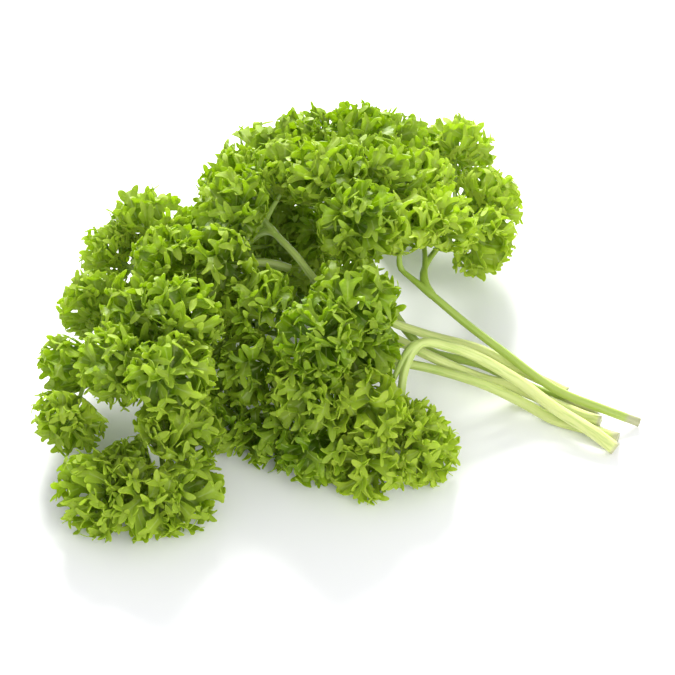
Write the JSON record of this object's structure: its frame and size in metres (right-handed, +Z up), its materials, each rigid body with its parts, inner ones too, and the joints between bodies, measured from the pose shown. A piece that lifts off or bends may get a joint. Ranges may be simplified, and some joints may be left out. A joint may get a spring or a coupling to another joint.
{
  "type": "parsley bunch",
  "caption": "Small bunch of cut curly parsley lying on a surface: thin forked stalks gathered at one end, spreading into tightly curled, toothed green leaflets.",
  "frame": {"origin": "middle of the bunch's footprint, on the surface that it lies on", "axes": "+Z up from the surface; +X from the leaves towards the cut ends of the stalks; +Y to the left of that, the side that the leaf tops lean to"},
  "size_m": [0.1698, 0.1506, 0.0651],
  "materials": {
    "leaflet": "satin",
    "stalk": "satin"
  },
  "bodies": {
    "root": {"back_leaf_leaflet_1": "leaflet", "back_leaf_leaflet_2": "leaflet", "back_leaf_leaflet_3": "leaflet", "back_leaf_leaflet_4": "leaflet", "back_leaf_leaflet_5": "leaflet", "back_leaf_leaflet_6": "leaflet", "back_leaf_leaflet_7": "leaflet", "back_leaf_leaflet_8": "leaflet", "back_leaf_leaflet_9": "leaflet", "back_leaf_stalk": "stalk", "back_left_leaf_leaflet_1": "leaflet", "back_left_leaf_leaflet_2": "leaflet", "back_left_leaf_leaflet_3": "leaflet", "back_left_leaf_leaflet_4": "leaflet", "back_left_leaf_leaflet_5": "leaflet", "back_left_leaf_leaflet_6": "leaflet", "back_left_leaf_leaflet_7": "leaflet", "back_left_leaf_leaflet_8": "leaflet", "back_left_leaf_leaflet_9": "leaflet", "back_left_leaf_stalk": "stalk", "front_leaf_leaflet_1": "leaflet", "front_leaf_leaflet_10": "leaflet", "front_leaf_leaflet_2": "leaflet", "front_leaf_leaflet_3": "leaflet", "front_leaf_leaflet_4": "leaflet", "front_leaf_leaflet_5": "leaflet", "front_leaf_leaflet_6": "leaflet", "front_leaf_leaflet_7": "leaflet", "front_leaf_leaflet_8": "leaflet", "front_leaf_leaflet_9": "leaflet", "front_leaf_stalk": "stalk", "left_leaf_leaflet_1": "leaflet", "left_leaf_leaflet_10": "leaflet", "left_leaf_leaflet_11": "leaflet", "left_leaf_leaflet_12": "leaflet", "left_leaf_leaflet_13": "leaflet", "left_leaf_leaflet_14": "leaflet", "left_leaf_leaflet_15": "leaflet", "left_leaf_leaflet_2": "leaflet", "left_leaf_leaflet_3": "leaflet", "left_leaf_leaflet_4": "leaflet", "left_leaf_leaflet_5": "leaflet", "left_leaf_leaflet_6": "leaflet", "left_leaf_leaflet_7": "leaflet", "left_leaf_leaflet_8": "leaflet", "left_leaf_leaflet_9": "leaflet", "left_leaf_stalk": "stalk", "low_leaf_leaflet_1": "leaflet", "low_leaf_leaflet_2": "leaflet", "low_leaf_leaflet_3": "leaflet", "low_leaf_leaflet_4": "leaflet", "low_leaf_stalk": "stalk", "right_leaf_leaflet_1": "leaflet", "right_leaf_leaflet_2": "leaflet", "right_leaf_leaflet_3": "leaflet", "right_leaf_leaflet_4": "leaflet", "right_leaf_leaflet_5": "leaflet", "right_leaf_leaflet_6": "leaflet", "right_leaf_leaflet_7": "leaflet", "right_leaf_stalk": "stalk"}
  },
  "joints": []
}
